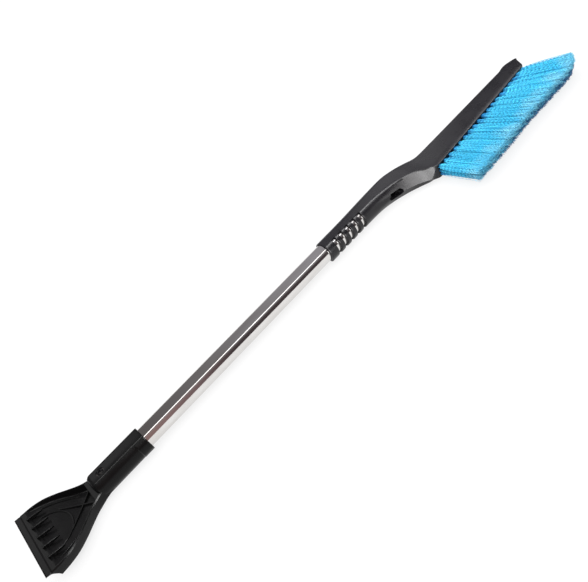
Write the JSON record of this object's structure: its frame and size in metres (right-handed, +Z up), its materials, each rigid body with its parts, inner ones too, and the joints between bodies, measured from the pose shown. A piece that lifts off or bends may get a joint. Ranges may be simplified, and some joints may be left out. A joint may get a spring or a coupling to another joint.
{
  "type": "windshield ice scraper with snow brush",
  "caption": "Plain metal tube with a ribbed plastic ice scraper blade on one end and a long angled snow brush with blue bristles on the other.",
  "frame": {"origin": "middle of the tool's footprint, on the surface it lies on", "axes": "+X runs along the tube from the scraper to the brush's toe, +Z up out of the flat side that shows in the picture, bristles point along -Y"},
  "size_m": [0.8097, 0.1351, 0.0237],
  "materials": {
    "tube_metal": "polished",
    "scraper_plastic": "satin, nearly black",
    "brush_plastic": "satin, dark charcoal grey",
    "screw_steel": "blackened steel",
    "anchor_metal": "plain drawn wire",
    "bristle": "crimped plastic filament, sky blue"
  },
  "bodies": {
    "root": {"tube": "tube_metal", "scraper_head": "scraper_plastic", "brush_head": "brush_plastic", "scraper_screw": "screw_steel", "brush_screw": "screw_steel", "tuft_anchors": "anchor_metal", "tuft_01": "bristle", "tuft_02": "bristle", "tuft_03": "bristle", "tuft_04": "bristle", "tuft_05": "bristle", "tuft_06": "bristle", "tuft_07": "bristle", "tuft_08": "bristle", "tuft_09": "bristle", "tuft_10": "bristle", "tuft_11": "bristle", "tuft_12": "bristle", "tuft_13": "bristle", "tuft_14": "bristle", "tuft_15": "bristle", "tuft_16": "bristle", "tuft_17": "bristle", "tuft_18": "bristle", "tuft_19": "bristle"}
  },
  "joints": []
}
